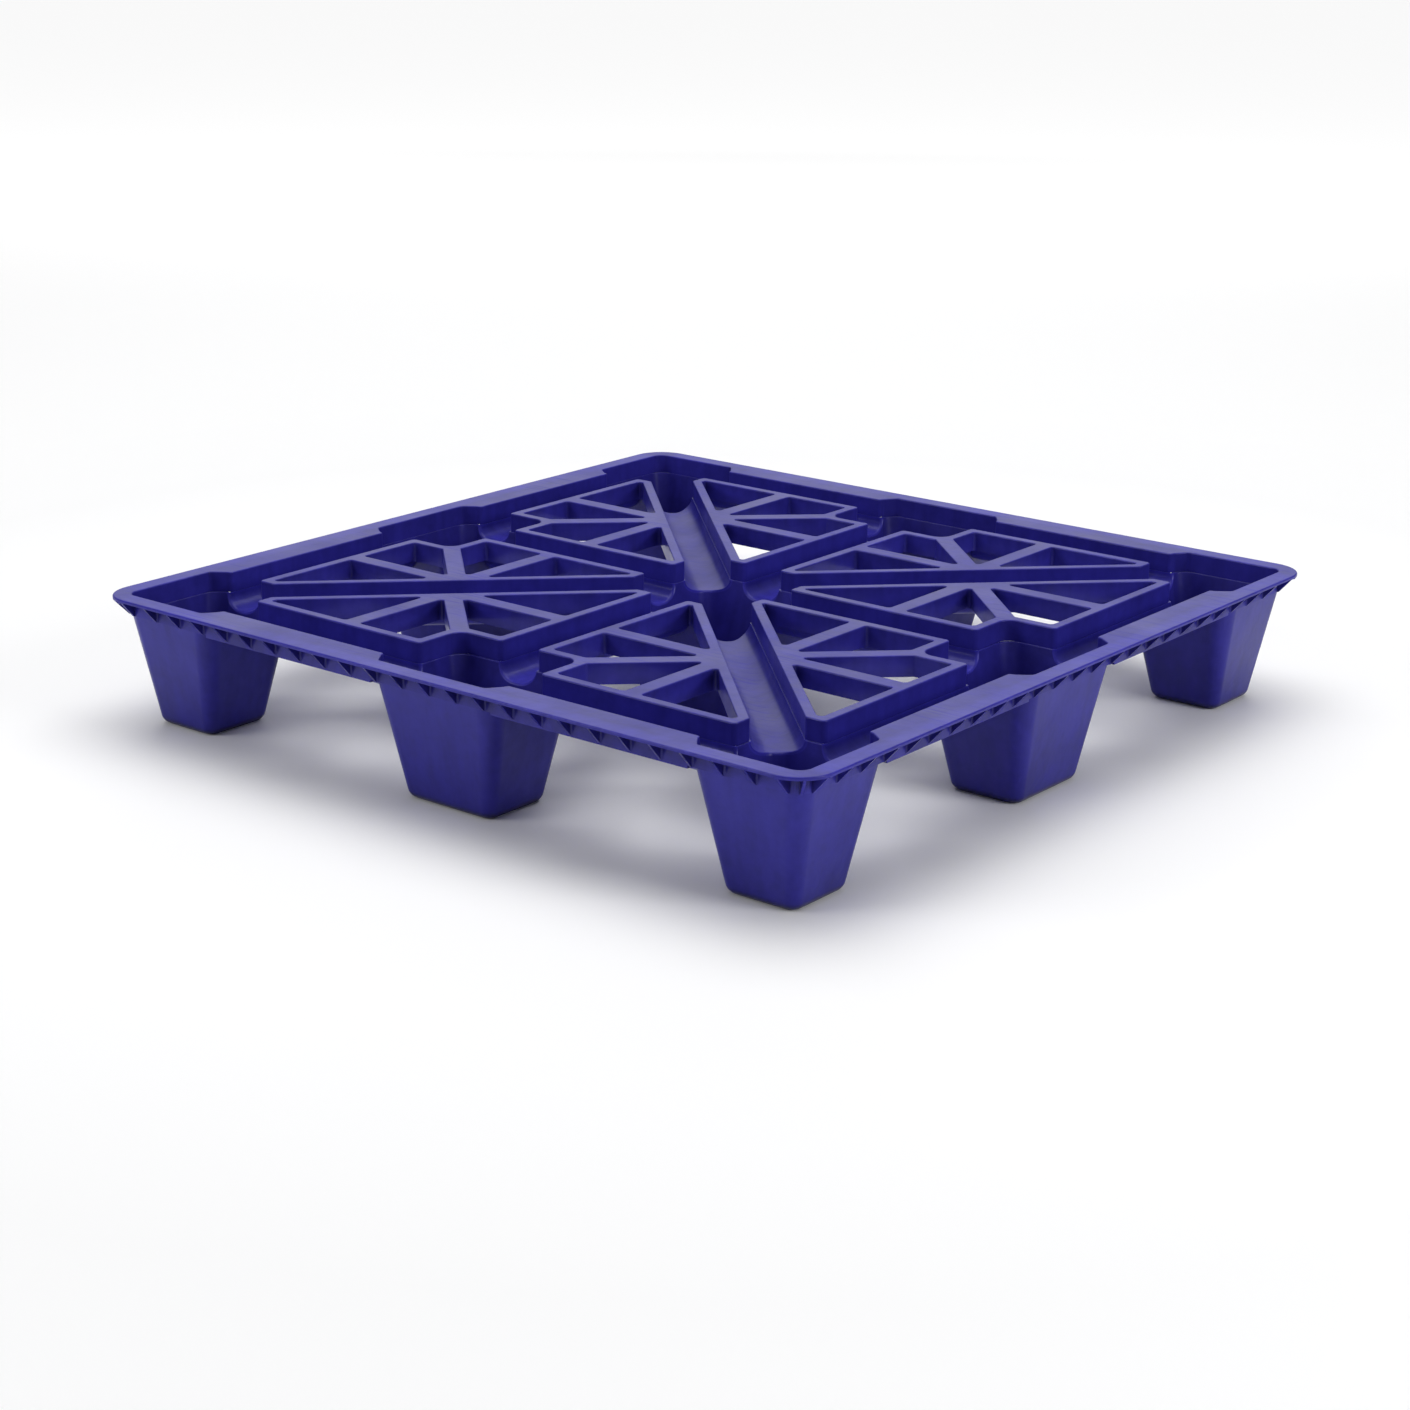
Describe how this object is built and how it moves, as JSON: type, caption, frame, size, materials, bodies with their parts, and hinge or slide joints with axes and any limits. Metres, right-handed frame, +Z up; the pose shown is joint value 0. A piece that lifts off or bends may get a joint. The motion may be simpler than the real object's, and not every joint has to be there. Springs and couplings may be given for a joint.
{
  "type": "nestable plastic pallet",
  "caption": "Square one-piece moulded pallet with an open lattice deck, drainage gutters and hollow tapered feet that nest, open to forks on all sides.",
  "frame": {"origin": "centre of the square footprint, level with the soles of the feet", "axes": "+Z up through the deck; +X towards the right side and -Y towards the front side, both square to the rim"},
  "size_m": [1.1, 1.1, 0.17],
  "materials": {
    "deck_plastic": "moulded blue-violet polypropylene, satin, finely scuffed on top",
    "foot_plastic": "moulded blue-violet polypropylene, satin",
    "gutter_plastic": "moulded blue-violet polypropylene, slightly glossier on the floors",
    "rim_plastic": "moulded blue-violet polypropylene, satin, scuffed along the edge"
  },
  "bodies": {
    "root": {"back_cross_gutter": "gutter_plastic", "back_deck_panel_left": "deck_plastic", "back_deck_panel_right": "deck_plastic", "back_edge_gutter_left": "gutter_plastic", "back_edge_gutter_right": "gutter_plastic", "diagonal_gutter_back_left": "gutter_plastic", "diagonal_gutter_back_right": "gutter_plastic", "diagonal_gutter_front_left": "gutter_plastic", "diagonal_gutter_front_right": "gutter_plastic", "foot_back": "foot_plastic", "foot_back_left": "foot_plastic", "foot_back_right": "foot_plastic", "foot_centre": "foot_plastic", "foot_front": "foot_plastic", "foot_front_left": "foot_plastic", "foot_front_right": "foot_plastic", "foot_left": "foot_plastic", "foot_right": "foot_plastic", "front_cross_gutter": "gutter_plastic", "front_deck_panel_left": "deck_plastic", "front_deck_panel_right": "deck_plastic", "front_edge_gutter_left": "gutter_plastic", "front_edge_gutter_right": "gutter_plastic", "left_cross_gutter": "gutter_plastic", "left_deck_panel_back": "deck_plastic", "left_deck_panel_front": "deck_plastic", "left_edge_gutter_back": "gutter_plastic", "left_edge_gutter_front": "gutter_plastic", "right_cross_gutter": "gutter_plastic", "right_deck_panel_back": "deck_plastic", "right_deck_panel_front": "deck_plastic", "right_edge_gutter_back": "gutter_plastic", "right_edge_gutter_front": "gutter_plastic", "rim_back": "rim_plastic", "rim_corner_back_left": "rim_plastic", "rim_corner_back_right": "rim_plastic", "rim_corner_front_left": "rim_plastic", "rim_corner_front_right": "rim_plastic", "rim_front": "rim_plastic", "rim_left": "rim_plastic", "rim_right": "rim_plastic"}
  },
  "joints": []
}
